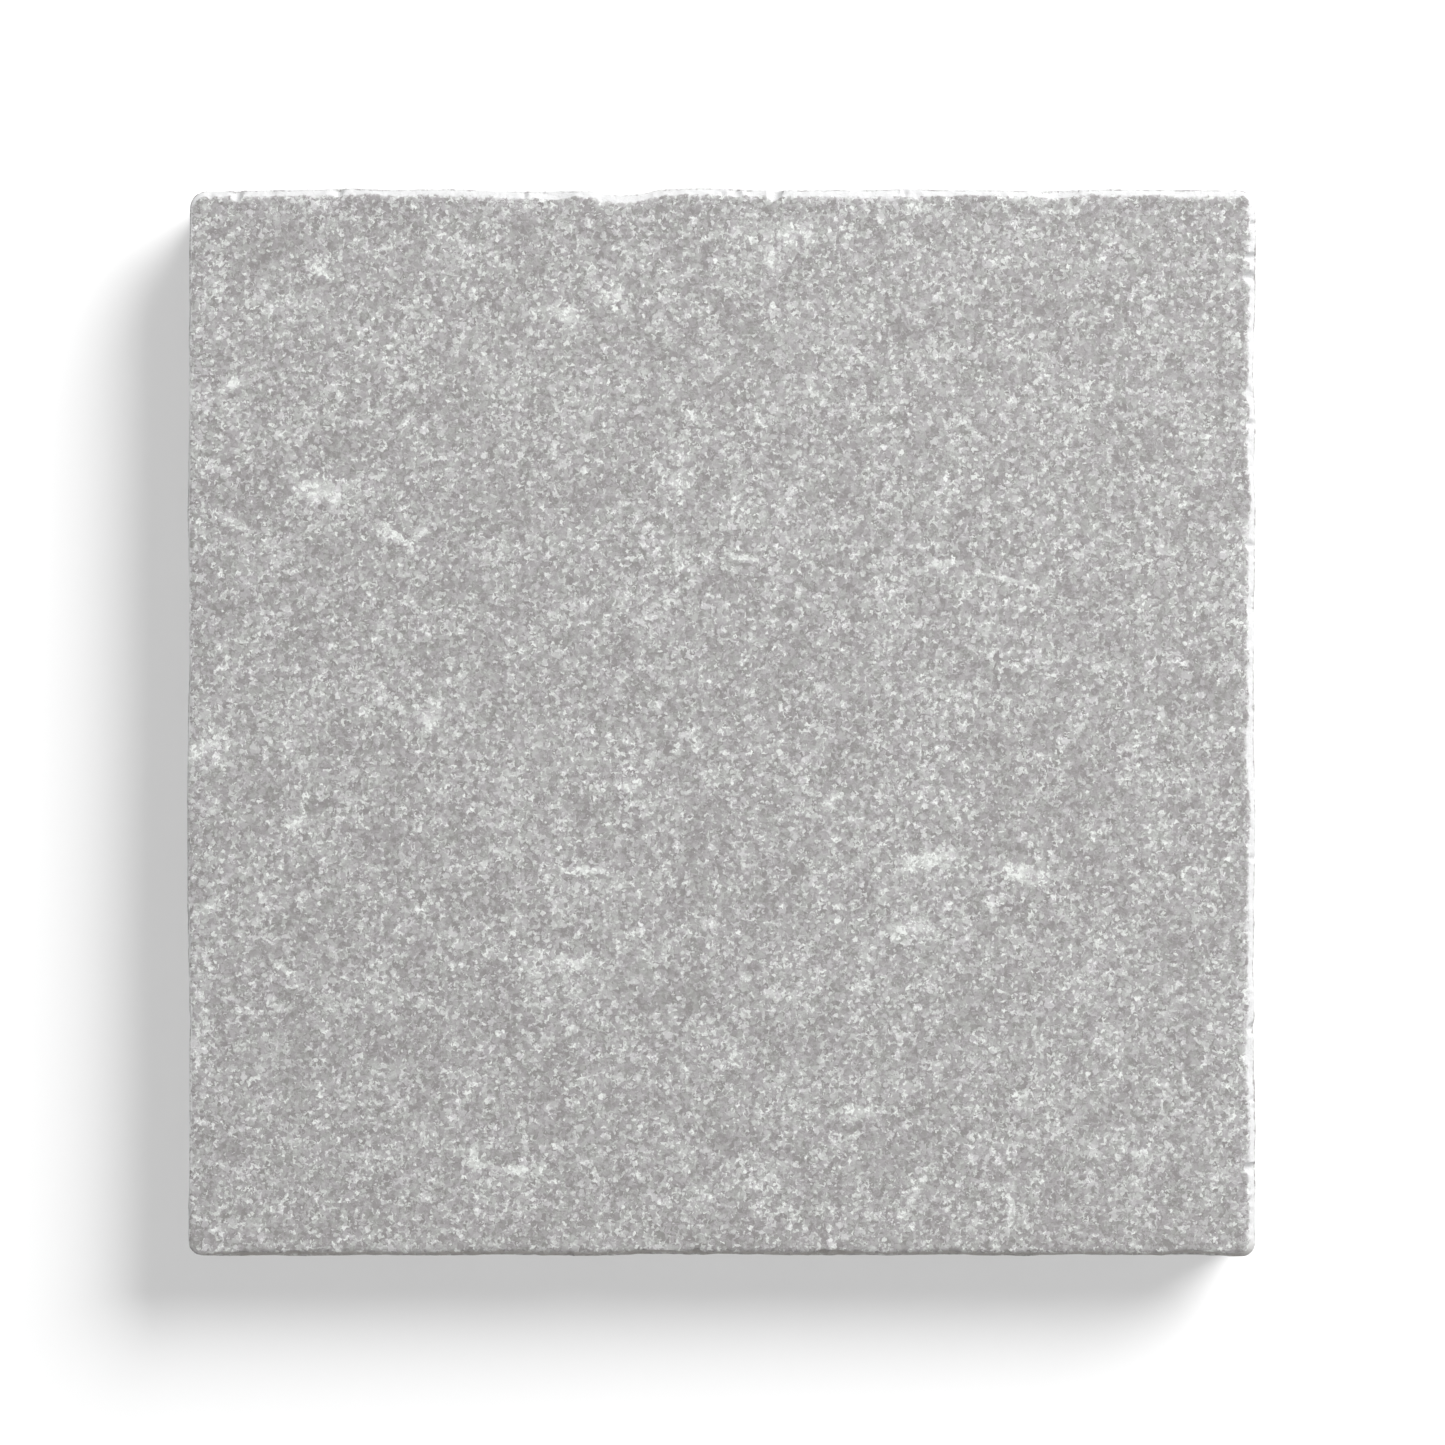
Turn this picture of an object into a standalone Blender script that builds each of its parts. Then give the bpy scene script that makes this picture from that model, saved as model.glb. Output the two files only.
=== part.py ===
"""Granite slab for leatherwork: one square block of stone with tumbled edges.

The block is sawn flat on both faces, its edges are worn round, and flakes have
come off along them. Metres, +Z up. The origin is the middle of the face that
the slab rests on. +X is its right side and +Y its back.
"""

import math
from collections import namedtuple

import bpy
from mathutils import Matrix, Vector

# The block.
WIDTH = 0.305  # along X
DEPTH = 0.305  # along Y
THICKNESS = 0.030  # along Z, a standard gauge of sawn stone
CORNER_RADIUS = 0.0045  # of the four upright corners, seen from above
ARRIS_RADIUS = 0.0012  # of the worn edges round both faces
CORNER_SEGMENTS = 5
ARRIS_SEGMENTS = 3

# A flake leaves the hollow of an ellipsoid this many times larger than its bite.
SCAR_FLATNESS = 2.2
SCAR_DETAIL = 4  # subdivisions of the sphere that cuts a scar

# A scar along an edge: the side it is on, its place along that side from -1 at
# the low end of the axis to 1, its length, its bite into the face, and its drop
# down the side. A drop of more than the thickness runs out through the far face.
EdgeScar = namedtuple("EdgeScar", "side place length bite drop")
UPPER_SCARS = (
    EdgeScar("back", -0.620, 0.022, 0.0032, 0.0036),
    EdgeScar("back", -0.320, 0.026, 0.0044, 0.0048),
    EdgeScar("back", -0.190, 0.022, 0.0022, 0.0800),
    EdgeScar("back", 0.063, 0.016, 0.0036, 0.0038),
    EdgeScar("back", 0.300, 0.024, 0.0030, 0.0036),
    EdgeScar("back", 0.634, 0.018, 0.0036, 0.0036),
    EdgeScar("back", 0.855, 0.018, 0.0036, 0.0034),
    EdgeScar("right", 0.790, 0.020, 0.0028, 0.0034),
    EdgeScar("right", 0.615, 0.020, 0.0034, 0.0038),
    EdgeScar("right", 0.215, 0.020, 0.0040, 0.0044),
    EdgeScar("right", -0.010, 0.018, 0.0036, 0.0040),
    EdgeScar("right", -0.330, 0.018, 0.0036, 0.0038),
    EdgeScar("right", -0.650, 0.022, 0.0038, 0.0042),
    EdgeScar("front", 0.880, 0.030, 0.0027, 0.0044),
    EdgeScar("front", 0.240, 0.026, 0.0023, 0.0036),
    EdgeScar("front", -0.130, 0.034, 0.0030, 0.0046),
    EdgeScar("front", -0.900, 0.020, 0.0024, 0.0036),
    EdgeScar("left", -0.560, 0.018, 0.0018, 0.0026),
    EdgeScar("left", 0.090, 0.016, 0.0017, 0.0028),
    EdgeScar("left", 0.760, 0.016, 0.0018, 0.0030),
)
LOWER_SCARS = (
    EdgeScar("back", -0.700, 0.024, 0.0042, 0.0046),
    EdgeScar("back", 0.330, 0.030, 0.0050, 0.0060),
    EdgeScar("right", 0.480, 0.024, 0.0044, 0.0050),
    EdgeScar("right", -0.560, 0.020, 0.0042, 0.0042),
    EdgeScar("front", -0.640, 0.028, 0.0048, 0.0060),
    EdgeScar("front", 0.520, 0.020, 0.0040, 0.0044),
    EdgeScar("left", 0.420, 0.026, 0.0046, 0.0052),
    EdgeScar("left", -0.280, 0.020, 0.0040, 0.0044),
)

# A scar that took the tip off an upper corner: the corner's signs along X and Y,
# how far the scar reaches from the tip along each side, and its drop.
TipScar = namedtuple("TipScar", "sign_x sign_y reach drop")
TIP_SCARS = (
    TipScar(1, -1, 0.0064, 0.0036),
    TipScar(-1, 1, 0.0052, 0.0036),
)

# The way each side faces, and the axis that runs along it.
SIDES = {
    "back": (Vector((0, 1, 0)), Vector((1, 0, 0))),
    "front": (Vector((0, -1, 0)), Vector((1, 0, 0))),
    "right": (Vector((1, 0, 0)), Vector((0, 1, 0))),
    "left": (Vector((-1, 0, 0)), Vector((0, 1, 0))),
}
HALF_SIZE = Vector((WIDTH / 2, DEPTH / 2, 0))

GRANITE_COLOUR = (0.47, 0.465, 0.46, 1)
GRANITE_ROUGHNESS = 0.75


def clear_scene():
    for old in list(bpy.data.objects):
        bpy.data.objects.remove(old, do_unlink=True)


def new_collection(name):
    collection = bpy.data.collections.new(name)
    bpy.context.scene.collection.children.link(collection)
    return collection


def move_to(obj, collection):
    for old in list(obj.users_collection):
        old.objects.unlink(obj)
    collection.objects.link(obj)


def granite_material():
    material = bpy.data.materials.new("granite")
    material.use_nodes = True
    shader = material.node_tree.nodes["Principled BSDF"]
    shader.inputs["Base Color"].default_value = GRANITE_COLOUR
    shader.inputs["Roughness"].default_value = GRANITE_ROUGHNESS
    shader.inputs["Metallic"].default_value = 0.0
    return material


def mark_upright_edges(mesh):
    """Gives a bevel weight of 1 to the block's four upright edges and 0 to the rest."""
    weights = mesh.attributes.new("bevel_weight_edge", "FLOAT", "EDGE")
    for edge in mesh.edges:
        low, high = sorted(mesh.vertices[i].co.z for i in edge.vertices)
        weights.data[edge.index].value = 1.0 if low < high else 0.0


def add_block(collection):
    """The sawn block with its corners and its arrises worn round."""
    bpy.ops.mesh.primitive_cube_add(size=1, location=(0, 0, THICKNESS / 2))
    block = bpy.context.object
    block.name = "granite_slab"
    block.scale = (WIDTH, DEPTH, THICKNESS)
    bpy.ops.object.transform_apply(location=False, rotation=False, scale=True)
    mark_upright_edges(block.data)

    corners = block.modifiers.new("round_corners", "BEVEL")
    corners.limit_method = "WEIGHT"
    corners.width = CORNER_RADIUS
    corners.segments = CORNER_SEGMENTS

    arrises = block.modifiers.new("worn_arrises", "BEVEL")
    arrises.limit_method = "ANGLE"
    arrises.angle_limit = math.radians(60)
    arrises.width = ARRIS_RADIUS
    arrises.segments = ARRIS_SEGMENTS

    block.data.shade_smooth()
    block.data.set_sharp_from_angle(angle=math.radians(35))
    block.data.materials.append(granite_material())
    move_to(block, collection)
    return block


def add_ellipsoid(name, edge_point, out, up, length, bite, drop, collection):
    """A cutter that takes a scar of this length, bite and drop off an edge.

    It is centred outside the edge, off both faces by the same share of its size,
    so that its surface meets each face at the bite and at the drop.
    """
    share = 1 / SCAR_FLATNESS
    offset = (math.sqrt(2 - share**2) - share) / 2
    half_sizes = Vector(
        (
            length / 2 / math.sqrt(1 - 2 * offset**2),
            bite * SCAR_FLATNESS,
            drop * SCAR_FLATNESS,
        )
    )
    turn = Matrix((out.cross(up), out, up)).transposed().to_4x4()
    bpy.ops.mesh.primitive_ico_sphere_add(subdivisions=SCAR_DETAIL, radius=1)
    cutter = bpy.context.object
    cutter.name = name
    cutter.data.transform(turn @ Matrix.Diagonal((*half_sizes, 1)))
    cutter.location = edge_point + offset * (out * half_sizes.y + up * half_sizes.z)
    cutter.hide_render = True
    cutter.display_type = "WIRE"
    move_to(cutter, collection)


def add_edge_scar(name, scar, face_up, collection):
    """The cutter for a scar on the edge where a side meets the upper or lower face."""
    out, along = SIDES[scar.side]
    up = Vector((0, 0, 1 if face_up else -1))
    edge_point = (out + along * scar.place) * HALF_SIZE
    edge_point.z = THICKNESS if face_up else 0
    add_ellipsoid(
        name, edge_point, out, up, scar.length, scar.bite, scar.drop, collection
    )


def add_tip_scar(name, scar, collection):
    """The cutter for a scar across the tip of an upper corner."""
    signs = Vector((scar.sign_x, scar.sign_y, 0))
    tip = signs * HALF_SIZE
    tip.z = THICKNESS
    chord = scar.reach * math.sqrt(2)
    add_ellipsoid(
        name,
        tip,
        signs.normalized(),
        Vector((0, 0, 1)),
        chord,
        chord / 2,
        scar.drop,
        collection,
    )


def add_scar_cutters(collection):
    for number, scar in enumerate(UPPER_SCARS, 1):
        add_edge_scar(f"upper_scar_{number:02d}", scar, True, collection)
    for number, scar in enumerate(LOWER_SCARS, 1):
        add_edge_scar(f"lower_scar_{number:02d}", scar, False, collection)
    for number, scar in enumerate(TIP_SCARS, 1):
        add_tip_scar(f"tip_scar_{number:02d}", scar, collection)


def cut_scars(block, cutters):
    """Takes every cutter of the collection off the block at once."""
    scars = block.modifiers.new("scars", "BOOLEAN")
    scars.operation = "DIFFERENCE"
    scars.solver = "EXACT"
    scars.operand_type = "COLLECTION"
    scars.collection = cutters


def build():
    clear_scene()
    block = add_block(new_collection("granite_slab"))
    cutters = new_collection("scar_cutters")
    add_scar_cutters(cutters)
    cut_scars(block, cutters)


build()
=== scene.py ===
"""Granite slab for leatherwork: its worn stone surface, its finish and a studio stage.

Laid out as an add-on and run as a script. One operator cuts the slab round the
solid that is loaded as the frame, one sets the stage, and a panel in the 3D
view's sidebar lists both. Metres, +Z up, with the slab resting on Z = 0.
"""

import math
from collections import namedtuple

import bmesh
import bpy
import numpy as np
from bpy.props import (
    FloatProperty,
    FloatVectorProperty,
    IntProperty,
    PointerProperty,
)
from bpy.types import Operator, Panel, PropertyGroup
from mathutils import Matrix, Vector, noise
from mathutils.bvhtree import BVHTree


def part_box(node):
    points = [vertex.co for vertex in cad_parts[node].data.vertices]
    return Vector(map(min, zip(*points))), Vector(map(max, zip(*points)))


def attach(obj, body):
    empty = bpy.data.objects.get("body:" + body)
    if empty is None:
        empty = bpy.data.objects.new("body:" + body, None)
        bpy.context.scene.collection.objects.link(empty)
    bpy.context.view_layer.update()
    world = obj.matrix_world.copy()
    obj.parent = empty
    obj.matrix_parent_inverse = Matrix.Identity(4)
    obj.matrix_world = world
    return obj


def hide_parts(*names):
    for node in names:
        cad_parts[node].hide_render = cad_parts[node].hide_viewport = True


bl_info = {
    "name": "Granite Slab",
    "version": (1, 0, 0),
    "blender": (4, 5, 0),
    "location": "3D View > Sidebar > Slab",
    "description": "Builds a tumbled granite slab for leatherwork and a studio stage",
    "category": "Add Mesh",
}

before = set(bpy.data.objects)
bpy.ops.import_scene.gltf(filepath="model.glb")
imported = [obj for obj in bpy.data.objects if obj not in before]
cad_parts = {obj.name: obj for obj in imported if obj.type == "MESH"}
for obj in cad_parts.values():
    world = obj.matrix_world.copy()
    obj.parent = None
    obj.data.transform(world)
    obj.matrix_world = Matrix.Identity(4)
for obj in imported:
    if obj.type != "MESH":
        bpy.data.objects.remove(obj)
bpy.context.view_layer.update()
SOLID = "granite_slab"
LOW, HIGH = (np.array(corner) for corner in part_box(SOLID))
HALF = (HIGH - LOW) / 2

# The mesh starts as a box of coarse cells, which are halved towards the edges.
COARSE_CELL = 0.005
HALVED_WITHIN = (0.014, 0.0085)  # of the sides, one halving for each
UPPER_FINE_REACH = 0.0062  # of the upper arris, along the stone
LOWER_FINE_REACH = 0.0036
CORNER_FINE_REACH = 0.0050

# Near the rim every point of the box moves inwards along a ray to a core, so
# that the points fan evenly round the worn edges.
CORE_INSET = 0.008
BISECTIONS = 22
EDGE_ON = 1e-6

# The frame's solid: the depth at which its sides are probed, and how much of its
# own small arris the wear here replaces.
PROBE_INSET = 0.005
SOLID_SLACK = 0.0005

# The arris. A power of 1 is a flat chamfer and 2 is an ellipse. Steepness is the
# drop of the arris down the side over its bite into the face.
ARRIS_POWER = 1.25
SHARP_ARRIS = 0.0002
LEAST_BITE = 0.0006
LEAST_DROP = 0.0003
LOWER_STEEPNESS = 0.9

# A value for each side: back, right, front, left.
UPPER_STEEPNESS = (0.9, 0.9, 0.8, 0.2)
# Bruising picks the edge colour on each side: 1 is whitish crushed stone, partly painted
# highlight, and 0 is painted shade. The front edge, which faces away from the key light,
# takes painted shade.
UPPER_BRUISE_AND_PAINTED_LIGHT = (1.0, 1.0, 0.0, 1.0)
# The left edge whitens at a fifth of the depth: painted light on the edge that faces away
# from the key light.
WHITENING_AND_PAINTED_LIGHT = (1.0, 1.0, 1.0, 0.2)  # share of the wear depth that whitens the stone
# The lower edges take half painted shade and half the bruise colour with its painted
# highlight.
LOWER_BRUISE_AND_PAINTED_LIGHT = 0.5
WEAR_DEPTH = 0.0013  # stone lost where the wear is complete

# Layers of noise: the size of each one's features and its strength.
WAVE_MEAN = 0.55
WAVE_MOST = 2.0
WAVE_LAYERS = ((0.048, 0.75), (0.015, 0.45))
BITE_LAYERS = ((0.021, 0.30), (0.0058, 0.26), (0.0019, 0.22))
STEEPNESS_LAYERS = ((0.017, 0.5),)
CORNER_LAYERS = ((0.02, 0.3),)
SCUFF_LAYERS = ((0.0085, 0.9),)

# Scuffs run down a side from its arrises and fade out at this reach.
SCUFF_MEAN = 0.45
SCUFF_MOST = 0.8
SCUFF_REACH = 0.014

# Small flakes: the turn off the edge in radians, the spread of their sizes, and
# the least and most of their bite and drop, in arris widths, and of their flatness.
FLAKE_TWIST = 0.12
FLAKE_SIZE_SPREAD = 0.45
FLAKE_BITE = (0.85, 1.55)
FLAKE_DROP = (0.8, 1.7)
FLAKE_FLATNESS = (1.5, 3.2)

# Sizes of the broken stone's own texture.
FINE_TEXTURE = 0.0015
MIDDLING_TEXTURE = 0.0042
COARSE_TEXTURE = 0.0078

SHARP_FROM = math.radians(50)
MARK_DEPTH = 0.004  # how deep a mark runs into the stone


# ---------------------------------------------------------------- settings


class SlabShape(PropertyGroup):
    """Sizes of the worn and broken edges."""

    back_arris: FloatProperty(
        name="Back Arris",
        description="Mean width of the worn upper edge at the back",
        default=0.0030,
        min=0.0005,
        max=0.006,
        unit="LENGTH",
    )
    right_arris: FloatProperty(
        name="Right Arris",
        description="Mean width of the worn upper edge at the right",
        default=0.0031,
        min=0.0005,
        max=0.006,
        unit="LENGTH",
    )
    front_arris: FloatProperty(
        name="Front Arris",
        description="Mean width of the worn upper edge at the front",
        default=0.0019,
        min=0.0005,
        max=0.006,
        unit="LENGTH",
    )
    left_arris: FloatProperty(
        name="Left Arris",
        description="Mean width of the worn upper edge at the left",
        default=0.0010,
        min=0.0005,
        max=0.006,
        unit="LENGTH",
    )
    lower_arris: FloatProperty(
        name="Lower Arris",
        description="Mean width of the worn edge round the underside",
        default=0.0020,
        min=0.0005,
        max=0.006,
        unit="LENGTH",
    )
    corner_radius: FloatProperty(
        name="Corner Radius",
        description="Radius of the upright corners, seen from above",
        default=0.0048,
        min=0.001,
        max=0.007,
        unit="LENGTH",
    )
    side_wave: FloatProperty(
        name="Side Wave",
        description="How far the sides wander inwards from a true square",
        default=0.0010,
        min=0.0,
        max=0.002,
        unit="LENGTH",
    )
    side_roughness: FloatProperty(
        name="Side Roughness",
        description="Depth of the tumbled texture on the sides",
        default=0.00018,
        min=0.0,
        max=0.001,
        unit="LENGTH",
    )
    break_roughness: FloatProperty(
        name="Break Roughness",
        description="Depth of the texture where stone has worn or broken off",
        default=0.00034,
        min=0.0,
        max=0.001,
        unit="LENGTH",
    )
    flakes: IntProperty(
        name="Flakes per Edge",
        description="Small flakes missing from each of the eight long edges",
        default=22,
        min=0,
        max=80,
    )
    flake_length: FloatProperty(
        name="Flake Length",
        description="Middle length of the small flakes along the edge",
        default=0.0042,
        min=0.001,
        max=0.02,
        unit="LENGTH",
    )
    seed: IntProperty(
        name="Seed",
        description="Changes where the small flakes and the waves fall",
        default=11,
        min=0,
        max=999,
    )


def colour_property(name, description, default):
    return FloatVectorProperty(
        name=name,
        description=description,
        default=default,
        subtype="COLOR",
        size=3,
        min=0.0,
        max=1.0,
    )


class StoneFinish(PropertyGroup):
    """Colours and surface of the granite, with painted highlight and painted shade on its
    edges.
    """

    grain: FloatProperty(
        name="Grain",
        description="Size of the larger pale crystals",
        default=0.0016,
        min=0.0004,
        max=0.01,
        unit="LENGTH",
    )
    dark_speck: colour_property(
        "Dark Specks", "The few dark grains", (0.220, 0.214, 0.208)
    )
    dark_ground: colour_property(
        "Dark Ground", "The darker part of the grey ground", (0.292, 0.288, 0.284)
    )
    ground: colour_property(
        "Ground", "The grey ground between the crystals", (0.368, 0.366, 0.363)
    )
    pale_crystal: colour_property(
        "Pale Crystals", "The dull pale crystals", (0.498, 0.498, 0.496)
    )
    white_crystal: colour_property(
        "White Crystals", "The brightest crystals and marks", (0.700, 0.703, 0.700)
    )
    # Whitish crushed stone that is also a painted highlight, on the back, right and left
    # edges and on half of the lower edge.
    bruise_and_highlight: colour_property(
        "Bruised Edge", "Crushed stone along the back and right edges", (0.545, 0.546, 0.550)
    )
    # Painted shade, not dirt: a darker, warmer colour for the worn front edge, which faces
    # away from the key light, and for half of the lower edge.
    painted_shade: colour_property(
        "Grime", "Dirt held by the worn front edge", (0.300, 0.285, 0.268)
    )
    roughness: FloatProperty(
        name="Roughness",
        description="Roughness of the ground between the crystals",
        default=0.72,
        min=0.0,
        max=1.0,
        subtype="FACTOR",
    )
    relief: FloatProperty(
        name="Relief",
        description="Height of the crystals over the ground",
        default=0.00018,
        min=0.0,
        max=0.001,
        unit="LENGTH",
    )


class StudioStage(PropertyGroup):
    """The floor, the lights and the camera."""

    floor_colour: colour_property(
        "Floor", "Colour of the floor and its raised rim", (0.9, 0.9, 0.9)
    )
    floor_radius: FloatProperty(
        name="Floor Radius",
        description="Radius of the round floor, out to the top of its rim",
        default=2.6,
        min=1.0,
        unit="LENGTH",
    )
    rim_height: FloatProperty(
        name="Rim Height",
        description="How high the floor curves up at its edge",
        default=0.6,
        min=0.1,
        unit="LENGTH",
    )
    key_direction: FloatVectorProperty(
        name="Key Direction",
        description="The way from the slab to the softbox",
        default=(1.04, 1.04, 1.0),
        subtype="DIRECTION",
        size=3,
    )
    key_power: FloatProperty(
        name="Key Power",
        description="Power of the softbox behind and to the right",
        default=124.0,
        min=0.0,
        unit="POWER",
    )
    key_distance: FloatProperty(
        name="Key Distance",
        description="Distance of the softbox from the slab",
        default=3.0,
        min=0.5,
        unit="LENGTH",
    )
    key_size: FloatProperty(
        name="Key Size",
        description="Diameter of the softbox",
        default=2.2,
        min=0.05,
        unit="LENGTH",
    )
    overhead_strength: FloatProperty(
        name="Overhead Strength",
        description="Strength of the light from straight above",
        default=1.22,
        min=0.0,
    )
    overhead_angle: FloatProperty(
        name="Overhead Angle",
        description="How wide the light from straight above looks from the slab",
        default=math.radians(11),
        min=0.0,
        subtype="ANGLE",
    )
    fill_strength: FloatProperty(
        name="Fill Strength",
        description="Brightness of the even light from all round",
        default=0.20,
        min=0.0,
    )
    lens: FloatProperty(
        name="Lens",
        description="Focal length of the camera",
        default=135.0,
        min=20.0,
        unit="CAMERA",
    )
    view_width: FloatProperty(
        name="View Width",
        description="Width of what the camera sees at the working face",
        default=0.4108,
        min=0.1,
        unit="LENGTH",
    )


# ---------------------------------------------------------------- the block


def cut_along(bm, axis, cells):
    """Cuts every edge that runs along one axis into this many equal lengths."""
    along = [
        edge
        for edge in bm.edges
        if abs(edge.verts[1].co[axis] - edge.verts[0].co[axis]) > EDGE_ON
    ]
    bmesh.ops.subdivide_edges(bm, edges=along, cuts=cells - 1, use_grid_fill=True)


def halve_cells(bm, is_inside):
    """Halves each edge that has both its ends inside a region."""
    edges = [edge for edge in bm.edges if all(is_inside(v.co) for v in edge.verts)]
    bmesh.ops.subdivide_edges(bm, edges=edges, cuts=1, use_grid_fill=True)


def side_insets(point):
    """How far inside the nearer and the farther of its two sides a point is."""
    insets = (HALF[0] - abs(point.x), HALF[1] - abs(point.y))
    return min(insets), max(insets)


def is_by_an_edge(point):
    """Whether a point is in the finest band of cells, beside an arris or a corner."""
    side, corner = side_insets(point)
    return (
        side + HIGH[2] - point.z < UPPER_FINE_REACH
        or side + point.z - LOW[2] < LOWER_FINE_REACH
        or (side < EDGE_ON and corner < CORNER_FINE_REACH)
    )


def sawn_block():
    """A true box as a mesh, coarse in the middle of its faces and fine at its edges."""
    bm = bmesh.new()
    bmesh.ops.create_cube(bm, size=1)
    bmesh.ops.scale(bm, vec=HIGH - LOW, verts=bm.verts)
    bmesh.ops.translate(bm, vec=(LOW + HIGH) / 2, verts=bm.verts)
    for axis in range(3):
        cut_along(bm, axis, round(2 * HALF[axis] / COARSE_CELL))
    for reach in HALVED_WITHIN:
        halve_cells(bm, lambda point: side_insets(point)[0] < reach)
    halve_cells(bm, is_by_an_edge)
    mesh = bpy.data.meshes.new(SOLID)
    bm.to_mesh(mesh)
    bm.free()
    return mesh


# ---------------------------------------------------------------- wear


class RimRays:
    """The rays along which the points near the rim move inwards to the worn stone."""

    def __init__(self, start):
        self.start = start
        core = np.clip(start, LOW + CORE_INSET, HIGH - CORE_INSET)
        self.reach = np.linalg.norm(core - start, axis=1)
        self.inward = (core - start) / self.reach[:, None]
        sideways = start[:, :2] - core[:, :2]
        self.outward = sideways / np.linalg.norm(sideways, axis=1)[:, None]
        self.outline = np.column_stack(
            (core[:, :2] + self.outward * CORE_INSET, start[:, 2])
        )
        self.is_upper = start[:, 2] > (LOW[2] + HIGH[2]) / 2

    def at(self, depth):
        return self.start + self.inward * depth[:, None]

    def depth_inside(self, is_outside):
        """How far each ray runs before it is inside a shape."""
        near = np.zeros(len(self.start))
        far = self.reach.copy()
        for _ in range(BISECTIONS):
            middle = (near + far) / 2
            outside = is_outside(self.at(middle))
            near = np.where(outside, middle, near)
            far = np.where(outside, far, middle)
        return far


def ripple(points, size, seed):
    """Smooth noise from about -1 to 1 with features of one size."""
    shift = Vector((17.3, -9.1, 5.7)) * (seed + 1)
    return np.array([noise.noise(Vector(p) / size + shift) for p in points])


def ripples(points, layers, seed):
    """Layers of noise added up, each with its own size, strength and seed."""
    return sum(
        strength * ripple(points, size, seed + number)
        for number, (size, strength) in enumerate(layers)
    )


def half_noise(points, size, seed):
    """Smooth noise from about 0 to 1."""
    return 0.5 + 0.5 * ripple(points, size, seed)


def side_value(rays, back, right, front, left):
    """A value that is set for each side, blended round the corners."""
    towards = np.column_stack((rays.outward, -rays.outward))
    return np.maximum(towards, 0) ** 2 @ np.array((right, back, left, front))


def is_outside_block(points, wave, corner, bite, drop):
    """Whether each point is outside a block with wavy sides and worn arrises."""
    edge = np.abs(points[:, :2]) - HALF[:2] + (wave + corner)[:, None]
    plan = (
        np.linalg.norm(np.maximum(edge, 0), axis=1)
        + np.minimum(edge.max(axis=1), 0)
        - corner
    )
    level = np.abs(points[:, 2] - LOW[2] - HALF[2]) - HALF[2]
    across = np.maximum(1 + plan / bite, 0)
    down = np.maximum(1 + level / drop, 0)
    return across**ARRIS_POWER + down**ARRIS_POWER > 1


def solid_tree():
    """The frame's own solid, ready for rays to be cast at it."""
    graph = bpy.context.evaluated_depsgraph_get()
    return BVHTree.FromObject(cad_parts[SOLID], graph)


def distance_to(tree, starts, directions):
    """How far each start is from a surface, along a ray that sets out behind it."""
    backed_off = starts - directions * CORE_INSET
    hits = [
        tree.ray_cast(Vector(start), Vector(direction))[3]
        for start, direction in zip(backed_off, directions)
    ]
    return np.maximum(np.array(hits) - CORE_INSET, 0)


def solid_inset(rays, tree):
    """How far the solid's side lies inside the sawn outline, away from its arrises."""
    level = np.clip(rays.outline[:, 2], LOW[2] + PROBE_INSET, HIGH[2] - PROBE_INSET)
    starts = np.column_stack((rays.outline[:, :2], level))
    inward = np.column_stack((-rays.outward, np.zeros(len(level))))
    return distance_to(tree, starts, inward)


Flake = namedtuple("Flake", "centre axes half_sizes")


def flake_off_edge(edge_point, out, up, length, bite, drop, flatness):
    """The ellipsoid whose hollow has this length, bite and drop at a square edge."""
    share = 1 / flatness
    offset = (math.sqrt(2 - share**2) - share) / 2
    half_sizes = np.array(
        (length / 2 / math.sqrt(1 - 2 * offset**2), bite * flatness, drop * flatness)
    )
    axes = np.array((np.cross(out, up), out, up))
    centre = edge_point + offset * (axes[1] * half_sizes[1] + axes[2] * half_sizes[2])
    return Flake(centre, axes, half_sizes)


def random_flake(rng, edge_point, out, up, width, length):
    """A small flake of random size, turned a little off the edge's own direction."""
    twist = rng.normal(0, FLAKE_TWIST)
    size = rng.lognormal(0, FLAKE_SIZE_SPREAD)
    depth = width * min(size, 1.0)
    along = np.cross(out, up)
    turned_out = out * math.cos(twist) + along * math.sin(twist)
    return flake_off_edge(
        edge_point,
        turned_out,
        up,
        length=length * size,
        bite=depth * rng.uniform(*FLAKE_BITE),
        drop=depth * rng.uniform(*FLAKE_DROP),
        flatness=rng.uniform(*FLAKE_FLATNESS),
    )


def small_flakes(shape):
    """Small flakes at random places along the eight long edges."""
    rng = np.random.default_rng(shape.seed)
    upper = (shape.right_arris, shape.back_arris, shape.left_arris, shape.front_arris)
    flakes = []
    for side, upper_width in enumerate(upper):
        turn = side * math.pi / 2
        out = np.array((round(math.cos(turn)), round(math.sin(turn)), 0.0))
        along = np.array((-out[1], out[0], 0.0))
        run = abs(along @ HALF) - shape.corner_radius
        for top, width in ((True, upper_width), (False, shape.lower_arris)):
            up = np.array((0.0, 0.0, 1.0 if top else -1.0))
            level = HIGH[2] if top else LOW[2]
            for place in rng.uniform(-run, run, shape.flakes):
                edge_point = out * HALF + along * place
                edge_point[2] = level
                flakes.append(
                    random_flake(rng, edge_point, out, up, width, shape.flake_length)
                )
    return flakes


def chip_off(rays, depth, flake):
    """Moves the points that lie inside a flake on to the hollow that it leaves."""
    here = (rays.at(depth) - flake.centre) @ flake.axes.T / flake.half_sizes
    inside = (here**2).sum(axis=1) < 1
    here = here[inside]
    step = rays.inward[inside] @ flake.axes.T / flake.half_sizes
    square = (step**2).sum(axis=1)
    run = (here * step).sum(axis=1)
    gap = (here**2).sum(axis=1) - 1
    depth[inside] += (np.sqrt(run**2 - square * gap) - run) / square


def side_waves(rays, tree, shape):
    """How far each side stands inside the sawn outline, with the solid's own hollows."""
    waves = WAVE_MEAN + ripples(rays.outline, WAVE_LAYERS, shape.seed)
    waves = shape.side_wave * np.clip(waves, 0, WAVE_MOST)
    return np.maximum(waves, solid_inset(rays, tree))


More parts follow.
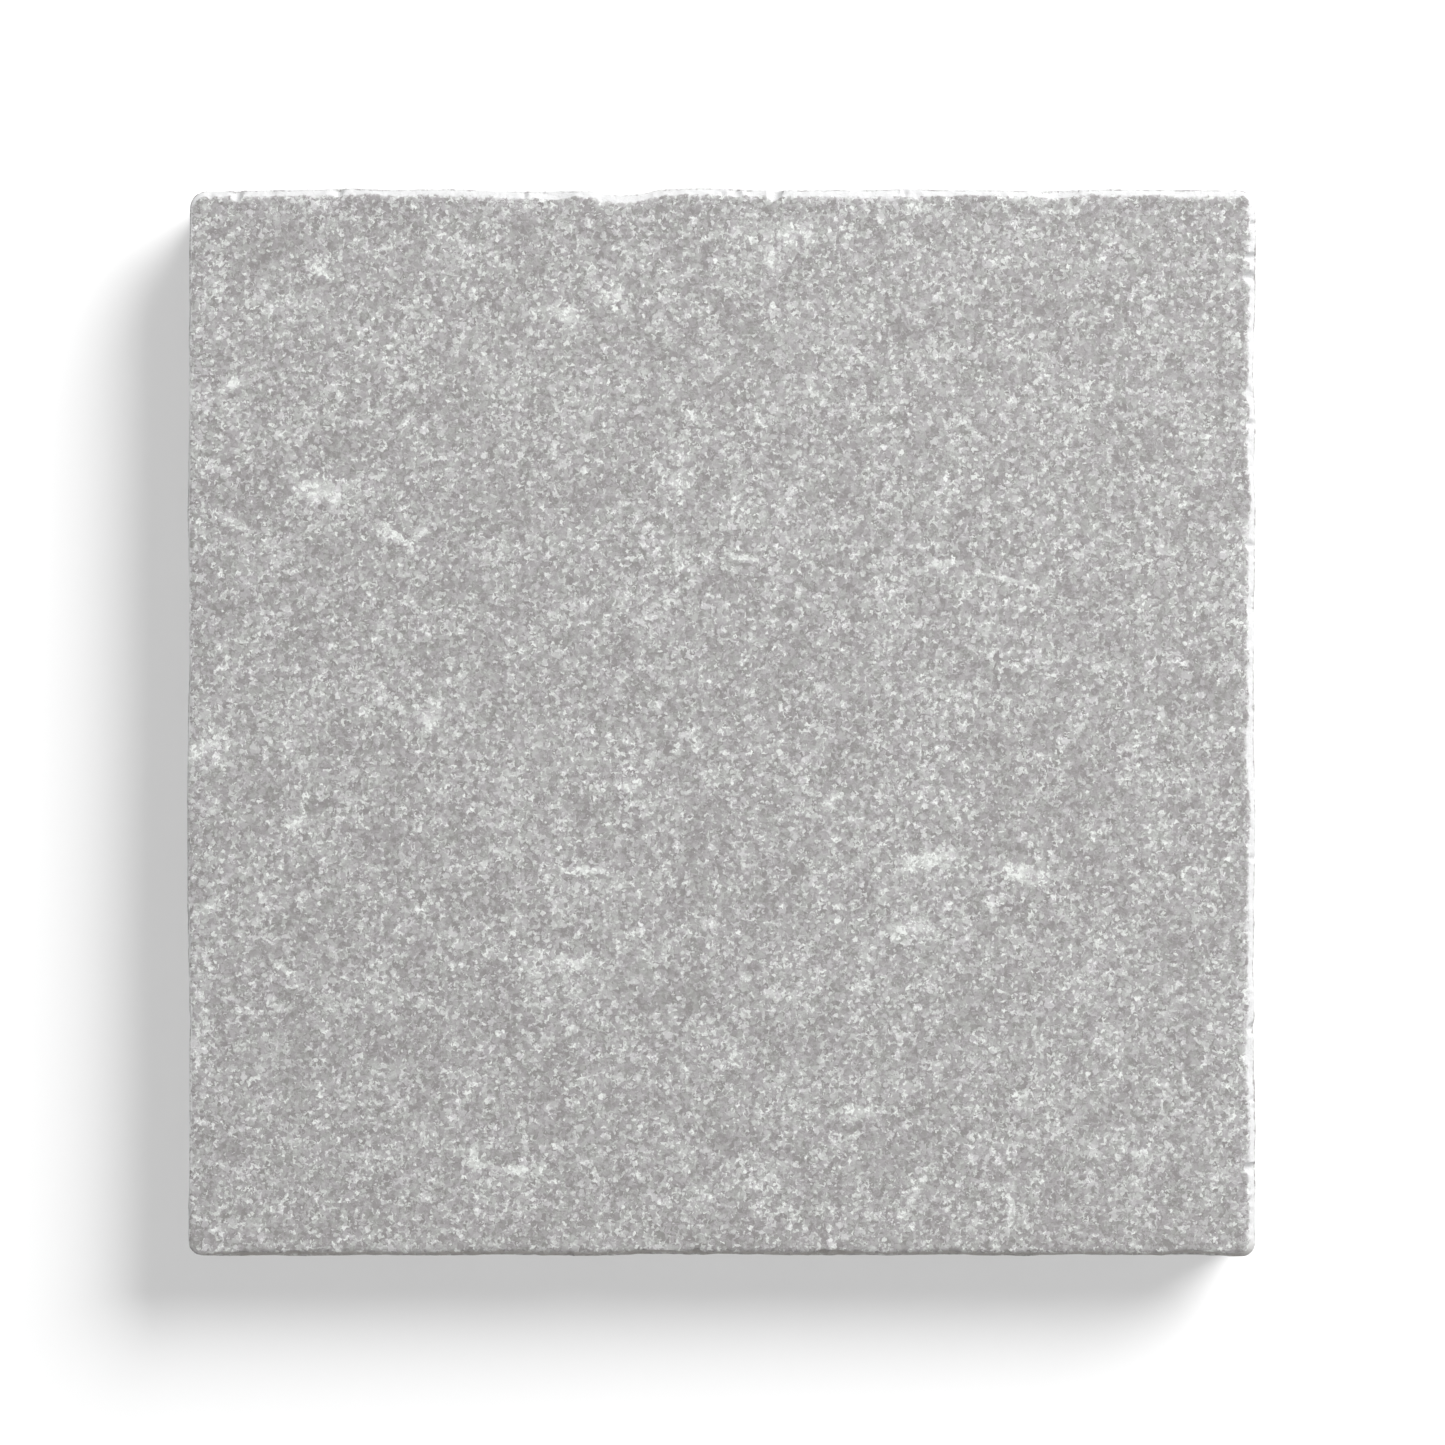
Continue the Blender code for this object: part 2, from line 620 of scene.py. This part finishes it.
def arris_sizes(rays, shape):
    """The bite into the face and the drop down the side of the arris on each ray."""
    upper = side_value(
        rays,
        shape.back_arris,
        shape.right_arris,
        shape.front_arris,
        shape.left_arris,
    )
    width = np.where(rays.is_upper, upper, shape.lower_arris)
    bite = width * (1 + ripples(rays.outline, BITE_LAYERS, shape.seed + 2))
    steepness = np.where(
        rays.is_upper, side_value(rays, *UPPER_STEEPNESS), LOWER_STEEPNESS
    )
    steepness = steepness * (1 + ripples(rays.outline, STEEPNESS_LAYERS, shape.seed + 5))
    return np.maximum(bite, LEAST_BITE), np.maximum(width * steepness, LEAST_DROP)


def corner_radii(rays, shape):
    return shape.corner_radius * (1 + ripples(rays.outline, CORNER_LAYERS, shape.seed + 6))


def texture_depth(start, is_side, wear, broken, shape):
    """How far the rough surface lies below the smooth one, for each kind of surface."""
    fine = half_noise(start, FINE_TEXTURE, shape.seed + 7)
    middling = half_noise(start, MIDDLING_TEXTURE, shape.seed + 8)
    coarse = half_noise(start, COARSE_TEXTURE, shape.seed + 10)
    on_arris = wear * shape.break_roughness * (0.55 * fine + 0.75 * middling)
    in_scar = broken * shape.break_roughness * (middling + 1.8 * coarse)
    on_side = is_side * (1 - wear) * shape.side_roughness * (fine + 2 * middling)
    return on_arris + in_scar + on_side


def scuffs(start, is_side, seed):
    """How scuffed each point of the sides is, in patches that run from the arrises."""
    inset = HALF[2] - np.abs(start[:, 2] - LOW[2] - HALF[2])
    patchy = SCUFF_MEAN + ripples(start, SCUFF_LAYERS, seed + 9)
    return np.where(is_side, np.clip(patchy - inset / SCUFF_REACH, 0, SCUFF_MOST), 0)


def worn_rim(start, shape):
    """Where points near the rim end up, how worn each one is, with the left edge's wear
    raised as painted light, and how much bruise colour with painted highlight, against
    painted shade, each one takes.
    """
    rays = RimRays(start)
    tree = solid_tree()
    wave = side_waves(rays, tree, shape)
    bite, drop = arris_sizes(rays, shape)
    corner = corner_radii(rays, shape)
    sawn = rays.depth_inside(
        lambda points: is_outside_block(points, wave, corner, SHARP_ARRIS, SHARP_ARRIS)
    )
    worn = rays.depth_inside(
        lambda points: is_outside_block(points, wave, corner, bite, drop)
    )
    scarred = distance_to(tree, rays.start, rays.inward) - SOLID_SLACK
    depth = np.maximum(worn, scarred)
    for flake in small_flakes(shape):
        chip_off(rays, depth, flake)

    # The left edge's small share paints it paler, as painted light where it faces away from
    # the key.
    whitening_and_light_depth = WEAR_DEPTH * side_value(rays, *WHITENING_AND_PAINTED_LIGHT)
    wear = np.clip((depth - sawn) / whitening_and_light_depth, 0, 1)
    broken = np.clip((depth - worn) / WEAR_DEPTH, 0, 1)
    is_side = (np.abs(np.abs(start[:, :2]) - HALF[:2]) < EDGE_ON).any(axis=1)
    depth += texture_depth(start, is_side, wear, broken, shape)
    worn_or_scuffed = np.maximum(wear, scuffs(start, is_side, shape.seed))
    # How much bruise colour with painted highlight, against painted shade, each point takes.
    bruise_and_painted_light = np.where(rays.is_upper, side_value(rays, *UPPER_BRUISE_AND_PAINTED_LIGHT), LOWER_BRUISE_AND_PAINTED_LIGHT)
    return rays.at(depth), worn_or_scuffed, bruise_and_painted_light


def add_attribute(mesh, name, values):
    attribute = mesh.attributes.new(name, "FLOAT", "POINT")
    attribute.data.foreach_set("value", values.astype(np.float32))


def wear_block(mesh, shape):
    """Wears the rim of a sawn block, and keeps how worn it is for the material."""
    count = len(mesh.vertices)
    points = np.empty(count * 3, np.float32)
    mesh.vertices.foreach_get("co", points)
    points = points.reshape(-1, 3).astype(float)
    insets = (HALF[:2] - np.abs(points[:, :2])).min(axis=1)
    rim = insets < CORE_INSET
    wear = np.zeros(count)
    bruise_and_painted_light = np.zeros(count)
    points[rim], wear[rim], bruise_and_painted_light[rim] = worn_rim(points[rim], shape)
    mesh.vertices.foreach_set("co", points.astype(np.float32).ravel())
    # The wear also holds the painted light of the left edge, and the bruise share runs from
    # painted shade to the bruise colour with its painted highlight.
    add_attribute(mesh, "wear", wear)
    add_attribute(mesh, "bruise_and_highlight", bruise_and_painted_light)
    mesh.update()


# ---------------------------------------------------------------- the stone


class Nodes:
    """Adds linked shader nodes to a material."""

    def __init__(self, material):
        material.use_nodes = True
        self.tree = material.node_tree
        self.shader = self.tree.nodes["Principled BSDF"]

    def add(self, kind, settings=None, **inputs):
        """A node with these settings; each input takes a value or another output."""
        node = self.tree.nodes.new(kind)
        for name, value in (settings or {}).items():
            setattr(node, name, value)
        for name, value in inputs.items():
            self.feed(node.inputs[name.replace("_", " ")], value)
        return node

    def feed(self, socket, value):
        if isinstance(value, bpy.types.NodeSocket):
            self.tree.links.new(value, socket)
        else:
            socket.default_value = value

    def math(self, operation, *values, clamp=False):
        node = self.add("ShaderNodeMath", {"operation": operation, "use_clamp": clamp})
        for socket, value in zip(node.inputs, values):
            self.feed(socket, value)
        return node.outputs[0]

    def vector(self, operation, *values):
        node = self.add("ShaderNodeVectorMath", {"operation": operation})
        for socket, value in zip(node.inputs, values):
            self.feed(socket, value)
        name = "Value" if operation == "LENGTH" else "Vector"
        return node.outputs[name]

    def scaled(self, vector, factor):
        node = self.add("ShaderNodeVectorMath", {"operation": "SCALE"}, Scale=factor)
        self.feed(node.inputs[0], vector)
        return node.outputs[0]

    def step(self, value, low, high, start=0.0, end=1.0):
        """A smooth step from start to end as a value goes from low to high."""
        node = self.add("ShaderNodeMapRange", {"interpolation_type": "SMOOTHSTEP"})
        for name, given in (
            ("Value", value),
            ("From Min", low),
            ("From Max", high),
            ("To Min", start),
            ("To Max", end),
        ):
            self.feed(node.inputs[name], given)
        return node.outputs["Result"]

    def mix(self, factor, first, second, blend="MIX"):
        node = self.add("ShaderNodeMix", {"data_type": "RGBA", "blend_type": blend})
        self.feed(node.inputs["Factor"], factor)
        self.feed(node.inputs["A"], first)
        self.feed(node.inputs["B"], second)
        return node.outputs["Result"]

    def cloud(self, place, size, detail=2.0, rough=0.5):
        """Soft noise from 0 to 1 with features of one size."""
        return self.add(
            "ShaderNodeTexNoise",
            Vector=place,
            Scale=1 / size,
            Detail=detail,
            Roughness=rough,
        ).outputs["Fac"]


# Sizes of what shows in the stone, in metres.
FRAY_SIZE = 0.0011  # of the shifts that give the grains ragged outlines
FRAY_REACH = 0.0019
CLUSTER_SIZE = 0.014
MOTTLE_SIZE = 0.0024
MARK_RAGGEDNESS = 0.0022
HUE_PATCH = 0.0060
BREAK_GRAIN = 0.0016

# The two sizes of grain. The share is how many are pale, the spread is how far
# their tones lie apart, and the lift is how much paler the pale ones are.
GrainKind = namedtuple("GrainKind", "size share spread lift")
LARGE_GRAINS = GrainKind(size=1.0, share=0.20, spread=0.18, lift=0.19)
FINE_GRAINS = GrainKind(size=0.58, share=0.27, spread=0.26, lift=0.36)
FINE_GRAINS_SHIFT = (0.31, 0.17, 0.23)  # keeps the two sizes from lining up
CROWDING = 0.6  # how much more often grains are pale where they crowd
GRAIN_BLUR = 0.05  # softens the step from dull to pale

# Tone runs from 0, dark, to 1, white.
MEAN_TONE = 0.20
CLUSTER_TONE = 0.26
MOTTLE_TONE = 0.20
MARK_TONE = 0.5

STONE_SPECULAR = 0.35

GREENISH = (0.978, 1.0, 0.972, 1.0)
REDDISH = (1.020, 0.992, 1.022, 1.0)

# Streaks and patches of white crystal on the working face: where the middle of
# each one is, its length, its width, its turn in degrees and its strength.
Mark = namedtuple("Mark", "x y length width turn strength")
MARKS = (
    Mark(0.019, 0.138, 0.014, 0.007, 10, 0.7),
    Mark(0.0136, 0.1316, 0.011, 0.0022, 84, 0.9),
    Mark(-0.031, 0.121, 0.008, 0.006, 20, 0.8),
    Mark(-0.045, 0.116, 0.008, 0.005, -30, 0.7),
    Mark(-0.114, 0.128, 0.006, 0.003, -25, 0.8),
    Mark(-0.140, 0.096, 0.007, 0.003, 30, 0.7),
    Mark(0.025, 0.096, 0.003, 0.006, 0, 0.7),
    Mark(-0.0136, 0.068, 0.006, 0.005, 0, 0.8),
    Mark(-0.115, 0.066, 0.013, 0.008, 0, 0.65),
    Mark(-0.141, 0.058, 0.010, 0.003, -25, 0.7),
    Mark(-0.093, 0.053, 0.013, 0.0032, -36, 1.0),
    Mark(-0.085, 0.054, 0.006, 0.0024, 48, 0.9),
    Mark(0.006, 0.047, 0.008, 0.0018, -10, 1.0),
    Mark(0.061, 0.045, 0.006, 0.004, 0, 0.7),
    Mark(0.0785, 0.0413, 0.010, 0.0014, -12, 0.9),
    Mark(0.107, 0.016, 0.005, 0.003, 0, 0.7),
    Mark(-0.084, 0.001, 0.008, 0.006, 60, 0.75),
    Mark(-0.148, -0.007, 0.010, 0.004, 30, 0.6),
    Mark(-0.0265, -0.018, 0.007, 0.0045, 0, 0.8),
    Mark(0.031, -0.022, 0.006, 0.0035, 70, 0.8),
    Mark(-0.121, -0.028, 0.007, 0.004, 0, 0.8),
    Mark(0.060, -0.039, 0.014, 0.005, 12, 0.8),
    Mark(0.086, -0.043, 0.015, 0.005, -18, 0.8),
    Mark(-0.038, -0.042, 0.011, 0.0022, -3, 1.0),
    Mark(-0.147, -0.053, 0.009, 0.003, 30, 0.6),
    Mark(0.055, -0.058, 0.010, 0.005, 0, 0.75),
    Mark(-0.044, -0.068, 0.009, 0.004, 0, 0.75),
    Mark(-0.124, -0.071, 0.012, 0.002, -42, 0.8),
    Mark(0.004, -0.095, 0.005, 0.005, 0, 0.7),
    Mark(0.039, -0.111, 0.010, 0.0045, 0, 0.7),
    Mark(-0.071, -0.1235, 0.008, 0.0022, 80, 0.9),
    Mark(-0.061, -0.127, 0.022, 0.0024, -6, 0.9),
    Mark(0.054, -0.135, 0.010, 0.0024, 60, 0.75),
    Mark(0.082, -0.137, 0.014, 0.002, 88, 0.6),
)

Grains = namedtuple("Grains", "pale tone tint")


def grains(nodes, place, size, share, crowding):
    """One size of interlocking grains, each of one tone.

    A share of them is pale, and more of them are where the crowding is high.
    """
    mosaic = nodes.add(
        "ShaderNodeTexVoronoi",
        {"feature": "F1", "distance": "MANHATTAN"},
        Vector=place,
        Scale=1 / size,
    )
    chance = nodes.add("ShaderNodeSeparateColor", Color=mosaic.outputs["Color"])
    level = nodes.math("MULTIPLY_ADD", crowding, CROWDING, chance.outputs["Red"])
    pale = nodes.step(level, 1.0 - share, 1.0 + GRAIN_BLUR - share)
    return Grains(pale, chance.outputs["Green"], chance.outputs["Blue"])


def mark_cover(nodes, place, frayed, chance):
    """How much the white marks of the working face lighten each point.

    The chance is one value for each grain, so that a mark takes whole grains.
    """
    cloud = nodes.cloud(frayed, MARK_RAGGEDNESS, 3.0, 0.7)
    ragged = nodes.math("MULTIPLY_ADD", cloud, 3.0, -2.4)
    ragged = nodes.math("MULTIPLY_ADD", chance, 0.9, ragged)
    cover = 0.0
    for mark in MARKS:
        inside = nodes.add(
            "ShaderNodeMapping",
            {"vector_type": "TEXTURE"},
            Vector=place,
            Location=(mark.x, mark.y, HIGH[2]),
            Rotation=(0.0, 0.0, math.radians(mark.turn)),
            Scale=(mark.length / 2, mark.width / 2, MARK_DEPTH),
        )
        distance = nodes.vector("LENGTH", inside.outputs["Vector"])
        distance = nodes.math("ADD", ragged, distance)
        covers = nodes.step(distance, 1.2, 0.55, 0.0, mark.strength)
        cover = nodes.math("MAXIMUM", cover, covers)
    return nodes.math("MULTIPLY", cover, MARK_TONE)


def frayed_place(nodes, place):
    """Each point shifted a little at random, which makes outlines ragged."""
    wander = nodes.add(
        "ShaderNodeTexNoise", Vector=place, Scale=1 / FRAY_SIZE, Detail=1.0, Roughness=0.5
    ).outputs["Color"]
    wander = nodes.vector("SUBTRACT", wander, (0.5, 0.5, 0.5))
    return nodes.vector("ADD", place, nodes.scaled(wander, FRAY_REACH))


Stone = namedtuple("Stone", "tone mottle large fine")


def sound_stone(nodes, place, frayed, grain):
    """The tone of unworn stone, with the mottle and the grains that it is made of."""
    cluster = nodes.math("SUBTRACT", nodes.cloud(place, CLUSTER_SIZE, 5.0, 0.62), 0.5)
    mottle = nodes.math("SUBTRACT", nodes.cloud(frayed, MOTTLE_SIZE, 3.0, 0.6), 0.5)
    crowding = nodes.math("MULTIPLY_ADD", mottle, 0.8, cluster)
    shifted = nodes.vector("ADD", frayed, FINE_GRAINS_SHIFT)
    large, fine = (
        grains(nodes, where, grain * kind.size, kind.share, crowding)
        for where, kind in ((frayed, LARGE_GRAINS), (shifted, FINE_GRAINS))
    )
    tone = nodes.math("MULTIPLY_ADD", cluster, CLUSTER_TONE, MEAN_TONE)
    tone = nodes.math("MULTIPLY_ADD", mottle, MOTTLE_TONE, tone)
    for found, kind in ((large, LARGE_GRAINS), (fine, FINE_GRAINS)):
        shade = nodes.math("SUBTRACT", found.tone, 0.5)
        tone = nodes.math("MULTIPLY_ADD", shade, kind.spread, tone)
        rise = nodes.math("MULTIPLY_ADD", found.tint, kind.lift, kind.lift * 0.4)
        tone = nodes.math("MULTIPLY_ADD", found.pale, rise, tone)
    chance = nodes.math("ADD", fine.tone, large.tint)
    tone = nodes.math("ADD", tone, mark_cover(nodes, place, frayed, chance))
    return Stone(tone, mottle, large, fine)


def toned(nodes, tone, finish):
    """The colour of each tone, from the dark specks to the white crystals."""
    stops = (
        (0.04, finish.dark_speck),
        (0.20, finish.dark_ground),
        (0.36, finish.ground),
        (0.60, finish.pale_crystal),
        (0.92, finish.white_crystal),
    )
    ramp = nodes.add("ShaderNodeValToRGB", Fac=tone)
    elements = ramp.color_ramp.elements
    while len(elements) < len(stops):
        elements.new(0.5)
    for element, (position, colour) in zip(elements, stops):
        element.position = position
        element.color = (*colour, 1.0)
    return ramp.outputs["Color"]


def tinted(nodes, colour, place, stone):
    """A colour tinted a little towards green or red in patches and by the grain."""
    patches = nodes.cloud(place, HUE_PATCH, 5.0, 0.7)
    hue = nodes.math("MULTIPLY_ADD", stone.large.tint, 0.35, patches)
    hue = nodes.math("MULTIPLY_ADD", stone.tone, -0.45, hue)
    tint = nodes.mix(nodes.step(hue, 0.28, 0.78), GREENISH, REDDISH)
    return nodes.mix(1.0, colour, tint, "MULTIPLY")


def read_attribute(nodes, name):
    return nodes.add("ShaderNodeAttribute", {"attribute_name": name}).outputs["Fac"]


def with_worn_edges(nodes, colour, worn, frayed, stone, finish):
    """A colour with whitish crushed stone where the edges are worn, partly real and partly
    painted highlight; on the front edge, and on half of the lower edge, a darker painted
    shade instead.
    """
    cloud = nodes.cloud(frayed, BREAK_GRAIN, 3.0, 0.7)
    ragged = nodes.math("MULTIPLY_ADD", stone.fine.tone, 0.5, cloud)
    ragged = nodes.math("SUBTRACT", ragged, 0.75)
    level = nodes.math("MULTIPLY_ADD", ragged, 0.9, worn)
    crushed = nodes.step(level, 0.08, 0.70, 0.0, 0.92)
    bruise_and_painted_light = read_attribute(nodes, "bruise_and_highlight")
    # Painted shade on the front edge and on half of the lower edge; the bruise colour with
    # its painted highlight on the others.
    edge = nodes.mix(bruise_and_painted_light, (*finish.painted_shade, 1.0), (*finish.bruise_and_highlight, 1.0))
    return nodes.mix(crushed, colour, edge)


def relief(nodes, place, worn, stone, finish):
    """Small bumps: the crystals' own, and rougher ones where the stone is worn."""
    height = nodes.math("MULTIPLY", stone.tone, 0.5)
    height = nodes.math("MULTIPLY_ADD", stone.mottle, 0.6, height)
    broken = nodes.cloud(place, BREAK_GRAIN, 2.0, 0.6)
    broken = nodes.math("MULTIPLY", broken, nodes.math("MULTIPLY", worn, 2.2))
    height = nodes.math("ADD", height, broken)
    bump = nodes.add(
        "ShaderNodeBump", Height=height, Distance=finish.relief, Strength=0.8
    )
    return bump.outputs["Normal"]


def granite(finish):
    """Interlocking grey grains, with pale ones in clusters, and a few dark ones."""
    material = bpy.data.materials.new("granite")
    nodes = Nodes(material)
    place = nodes.add("ShaderNodeTexCoord").outputs["Object"]
    frayed = frayed_place(nodes, place)
    worn = read_attribute(nodes, "wear")
    stone = sound_stone(nodes, place, frayed, finish.grain)
    colour = tinted(nodes, toned(nodes, stone.tone, finish), place, stone)
    colour = with_worn_edges(nodes, colour, worn, frayed, stone, finish)
    shine = nodes.math("MULTIPLY_ADD", stone.large.pale, -0.14, finish.roughness)
    roughness = nodes.math("MULTIPLY_ADD", stone.mottle, 0.12, shine)
    surface = nodes.shader.inputs
    nodes.feed(surface["Base Color"], colour)
    nodes.feed(surface["Roughness"], roughness)
    nodes.feed(surface["Normal"], relief(nodes, place, worn, stone, finish))
    surface["Specular IOR Level"].default_value = STONE_SPECULAR
    return material


def add_slab(shape, finish):
    """The slab with its worn rim, in place of the frame's plain solid."""
    mesh = sawn_block()
    wear_block(mesh, shape)
    mesh.materials.append(granite(finish))
    mesh.shade_smooth()
    mesh.set_sharp_from_angle(angle=SHARP_FROM)
    slab = bpy.data.objects.new("worn_granite_slab", mesh)
    bpy.context.scene.collection.objects.link(slab)
    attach(slab, "root")
    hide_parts(SOLID)
    return slab


# ---------------------------------------------------------------- the stage


FLOOR_GAP = 0.0001  # keeps the floor just clear of the slab's underside
FLOOR_STEPS = 96
RIM_STEPS = 24


def plain_material(name, colour):
    material = bpy.data.materials.new(name)
    shader = Nodes(material).shader
    shader.inputs["Base Color"].default_value = (*colour, 1.0)
    shader.inputs["Roughness"].default_value = 0.9
    shader.inputs["Specular IOR Level"].default_value = 0.0
    return material


def add_floor(stage):
    """A round floor that curves up into a low rim, all in one sweep."""
    flat_radius = stage.floor_radius - stage.rim_height
    profile = [(0.0, 0.0), (flat_radius, 0.0)]
    for step in range(1, RIM_STEPS + 1):
        angle = step / RIM_STEPS * math.pi / 2
        profile.append(
            (
                flat_radius + stage.rim_height * math.sin(angle),
                stage.rim_height * (1 - math.cos(angle)),
            )
        )
    bm = bmesh.new()
    verts = [bm.verts.new((radius, 0, height - FLOOR_GAP)) for radius, height in profile]
    edges = [bm.edges.new(pair) for pair in zip(verts, verts[1:])]
    bmesh.ops.spin(
        bm,
        geom=verts + edges,
        axis=(0, 0, 1),
        cent=(0, 0, 0),
        angle=math.tau,
        steps=FLOOR_STEPS,
        use_merge=True,
    )
    bmesh.ops.remove_doubles(bm, verts=bm.verts, dist=FLOOR_GAP / 10)
    bmesh.ops.recalc_face_normals(bm, faces=bm.faces)
    mesh = bpy.data.meshes.new("floor")
    bm.to_mesh(mesh)
    bm.free()
    mesh.shade_smooth()
    mesh.materials.append(plain_material("floor", stage.floor_colour))
    floor = bpy.data.objects.new("floor", mesh)
    bpy.context.scene.collection.objects.link(floor)


def aim(obj, direction):
    """Turns a light or camera to look along a direction, with +Y upwards in view."""
    obj.rotation_euler = Vector(direction).to_track_quat("-Z", "Y").to_euler()


def add_lights(stage):
    towards_key = Vector(stage.key_direction).normalized()
    key = bpy.data.lights.new("key_softbox", "AREA")
    key.shape = "DISK"
    key.size = stage.key_size
    key.energy = stage.key_power
    softbox = bpy.data.objects.new("key_softbox", key)
    softbox.location = towards_key * stage.key_distance
    softbox.visible_camera = False
    aim(softbox, -towards_key)

    overhead = bpy.data.lights.new("overhead", "SUN")
    overhead.energy = stage.overhead_strength
    overhead.angle = stage.overhead_angle
    ceiling = bpy.data.objects.new("overhead", overhead)

    for light in (softbox, ceiling):
        bpy.context.scene.collection.objects.link(light)

    world = bpy.data.worlds.new("fill")
    world.use_nodes = True
    background = world.node_tree.nodes["Background"]
    background.inputs["Color"].default_value = (1, 1, 1, 1)
    background.inputs["Strength"].default_value = stage.fill_strength
    bpy.context.scene.world = world


def add_camera(stage):
    """A long lens straight above the middle of the slab, with the back at the top."""
    data = bpy.data.cameras.new("camera")
    data.lens = stage.lens
    camera = bpy.data.objects.new("camera", data)
    distance = stage.view_width * data.lens / data.sensor_width
    camera.location = (0, 0, HIGH[2] + distance)
    bpy.context.scene.collection.objects.link(camera)
    bpy.context.scene.camera = camera
    bpy.context.scene.view_settings.view_transform = "Standard"


# ---------------------------------------------------------------- add-on


class STONE_OT_cut_slab(Operator):
    """Cut the granite slab round the frame's solid and wear its edges"""

    bl_idname = "stone.cut_slab"
    bl_label = "Cut Slab"
    bl_options = {"REGISTER", "UNDO"}

    def execute(self, context):
        slab = add_slab(context.scene.slab_shape, context.scene.stone_finish)
        if not slab.data.polygons:
            raise RuntimeError("The slab came out with no faces")
        return {"FINISHED"}


class STONE_OT_set_stage(Operator):
    """Set the floor, the lights and the camera round the slab"""

    bl_idname = "stone.set_stage"
    bl_label = "Set Stage"
    bl_options = {"REGISTER", "UNDO"}

    def execute(self, context):
        stage = context.scene.studio_stage
        add_floor(stage)
        add_lights(stage)
        add_camera(stage)
        if context.scene.camera is None:
            raise RuntimeError("The stage has no camera")
        return {"FINISHED"}


class STONE_PT_slab(Panel):
    """Lists the slab's operators and what a user would change"""

    bl_label = "Granite Slab"
    bl_space_type = "VIEW_3D"
    bl_region_type = "UI"
    bl_category = "Slab"

    def draw(self, context):
        layout = self.layout
        layout.use_property_split = True
        scene = context.scene
        for operator, settings in (
            (STONE_OT_cut_slab, (scene.slab_shape, scene.stone_finish)),
            (STONE_OT_set_stage, (scene.studio_stage,)),
        ):
            layout.operator(operator.bl_idname)
            for group in settings:
                for name in type(group).__annotations__:
                    layout.prop(group, name)


CLASSES = (
    SlabShape,
    StoneFinish,
    StudioStage,
    STONE_OT_cut_slab,
    STONE_OT_set_stage,
    STONE_PT_slab,
)


def register():
    for cls in CLASSES:
        bpy.utils.register_class(cls)
    bpy.types.Scene.slab_shape = PointerProperty(type=SlabShape)
    bpy.types.Scene.stone_finish = PointerProperty(type=StoneFinish)
    bpy.types.Scene.studio_stage = PointerProperty(type=StudioStage)


def unregister():
    del bpy.types.Scene.studio_stage
    del bpy.types.Scene.stone_finish
    del bpy.types.Scene.slab_shape
    for cls in reversed(CLASSES):
        bpy.utils.unregister_class(cls)


def main():
    register()
    bpy.ops.stone.cut_slab()
    bpy.ops.stone.set_stage()


if __name__ == "__main__":
    main()
